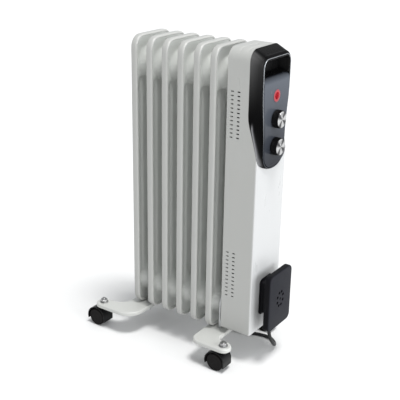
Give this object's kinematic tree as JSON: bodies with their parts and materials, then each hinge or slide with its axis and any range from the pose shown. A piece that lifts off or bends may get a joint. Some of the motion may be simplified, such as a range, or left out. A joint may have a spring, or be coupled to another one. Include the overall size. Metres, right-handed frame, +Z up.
{
  "type": "oil filled radiator heater",
  "caption": "Upright oil filled radiator heater: a stack of pressed steel fins, a control end with two knobs and a hand grip, cord storage, and feet on swivel casters.",
  "frame": {"origin": "on the floor, under the middle of the heater without its mains cord", "axes": "+Z up, +X along the stack of fins towards the control end, +Y across the fins"},
  "size_m": [0.4108, 0.2674, 0.63],
  "materials": {
    "white_enamel": "satin enamel",
    "black_plastic": "moulded, semi gloss",
    "zinc_steel": "zinc plated",
    "spun_aluminium": "spun, brushed in circles",
    "grey_gloss_fascia": "gloss",
    "silver_trim": "silver lacquer",
    "red_lens": "clear red",
    "phenolic_brown": "moulded",
    "terminal_white": "moulded",
    "shield_steel": "mill finish",
    "cord_black": "smooth sheath",
    "moulded_black": "moulded",
    "wheel_black": "moulded"
  },
  "bodies": {
    "heater": {"fin_1": "white_enamel", "fin_2": "white_enamel", "fin_3": "white_enamel", "fin_4": "white_enamel", "fin_5": "white_enamel", "fin_6": "white_enamel", "end_fin": "white_enamel", "control_housing": "white_enamel", "foot_left": "white_enamel", "foot_right": "white_enamel", "oil_filler_plug": "zinc_steel", "heating_element": "zinc_steel", "element_head": "zinc_steel", "u_bolt_left": "zinc_steel", "u_bolt_right": "zinc_steel", "heat_shield": "shield_steel", "panel_shell": "black_plastic", "cord_wrap": "black_plastic", "fascia": "grey_gloss_fascia", "fascia_trim": "silver_trim", "indicator_lamp": "red_lens", "thermal_cutout": "phenolic_brown", "terminal_block": "terminal_white", "thermostat_body": "phenolic_brown", "selector_body": "phenolic_brown", "cord": "cord_black", "cord_coil": "cord_black", "cord_tie": "moulded_black", "strain_relief": "moulded_black", "plug": "moulded_black", "wing_nut_left_near": "zinc_steel", "wing_nut_left_far": "zinc_steel", "wing_nut_right_near": "zinc_steel", "wing_nut_right_far": "zinc_steel", "caster_stem_left_near": "zinc_steel", "caster_stem_left_far": "zinc_steel", "caster_stem_right_near": "zinc_steel", "caster_stem_right_far": "zinc_steel"},
    "thermostat_knob": {"thermostat_knob": "black_plastic", "thermostat_cap": "spun_aluminium", "thermostat_spindle": "zinc_steel"},
    "selector_knob": {"selector_knob": "black_plastic", "selector_cap": "spun_aluminium", "selector_spindle": "zinc_steel"},
    "caster_left_near": {"caster_hood_left_near": "black_plastic", "caster_axle_left_near": "zinc_steel"},
    "wheel_left_near_inner": {"wheel_left_near_inner": "wheel_black"},
    "wheel_left_near_outer": {"wheel_left_near_outer": "wheel_black"},
    "caster_left_far": {"caster_hood_left_far": "black_plastic", "caster_axle_left_far": "zinc_steel"},
    "wheel_left_far_inner": {"wheel_left_far_inner": "wheel_black"},
    "wheel_left_far_outer": {"wheel_left_far_outer": "wheel_black"},
    "caster_right_near": {"caster_hood_right_near": "black_plastic", "caster_axle_right_near": "zinc_steel"},
    "wheel_right_near_inner": {"wheel_right_near_inner": "wheel_black"},
    "wheel_right_near_outer": {"wheel_right_near_outer": "wheel_black"},
    "caster_right_far": {"caster_hood_right_far": "black_plastic", "caster_axle_right_far": "zinc_steel"},
    "wheel_right_far_inner": {"wheel_right_far_inner": "wheel_black"},
    "wheel_right_far_outer": {"wheel_right_far_outer": "wheel_black"}
  },
  "joints": [
    {"name": "thermostat_turn", "type": "hinge", "parent": "heater", "child": "thermostat_knob", "pos_m": [0.1834, 0, 0.5], "axis": [1, 0, 0], "range_deg": [-270, 0]},
    {"name": "selector_turn", "type": "hinge", "parent": "heater", "child": "selector_knob", "pos_m": [0.1834, 0, 0.448], "axis": [1, 0, 0], "range_deg": [-135, 0]},
    {"name": "swivel_left_near", "type": "hinge", "parent": "heater", "child": "caster_left_near", "pos_m": [-0.1706, -0.094, 0.045], "axis": [0, 0, 1], "continuous": true},
    {"name": "roll_left_near_inner", "type": "hinge", "parent": "caster_left_near", "child": "wheel_left_near_inner", "pos_m": [-0.1816, -0.094, 0.0185], "axis": [0, 1, 0], "continuous": true},
    {"name": "roll_left_near_outer", "type": "hinge", "parent": "caster_left_near", "child": "wheel_left_near_outer", "pos_m": [-0.1816, -0.094, 0.0185], "axis": [0, 1, 0], "continuous": true},
    {"name": "swivel_left_far", "type": "hinge", "parent": "heater", "child": "caster_left_far", "pos_m": [-0.1706, 0.094, 0.045], "axis": [0, 0, 1], "continuous": true},
    {"name": "roll_left_far_inner", "type": "hinge", "parent": "caster_left_far", "child": "wheel_left_far_inner", "pos_m": [-0.1816, 0.094, 0.0185], "axis": [0, 1, 0], "continuous": true},
    {"name": "roll_left_far_outer", "type": "hinge", "parent": "caster_left_far", "child": "wheel_left_far_outer", "pos_m": [-0.1816, 0.094, 0.0185], "axis": [0, 1, 0], "continuous": true},
    {"name": "swivel_right_near", "type": "hinge", "parent": "heater", "child": "caster_right_near", "pos_m": [0.1354, -0.094, 0.045], "axis": [0, 0, 1], "continuous": true},
    {"name": "roll_right_near_inner", "type": "hinge", "parent": "caster_right_near", "child": "wheel_right_near_inner", "pos_m": [0.1244, -0.094, 0.0185], "axis": [0, 1, 0], "continuous": true},
    {"name": "roll_right_near_outer", "type": "hinge", "parent": "caster_right_near", "child": "wheel_right_near_outer", "pos_m": [0.1244, -0.094, 0.0185], "axis": [0, 1, 0], "continuous": true},
    {"name": "swivel_right_far", "type": "hinge", "parent": "heater", "child": "caster_right_far", "pos_m": [0.1354, 0.094, 0.045], "axis": [0, 0, 1], "continuous": true},
    {"name": "roll_right_far_inner", "type": "hinge", "parent": "caster_right_far", "child": "wheel_right_far_inner", "pos_m": [0.1244, 0.094, 0.0185], "axis": [0, 1, 0], "continuous": true},
    {"name": "roll_right_far_outer", "type": "hinge", "parent": "caster_right_far", "child": "wheel_right_far_outer", "pos_m": [0.1244, 0.094, 0.0185], "axis": [0, 1, 0], "continuous": true}
  ]
}
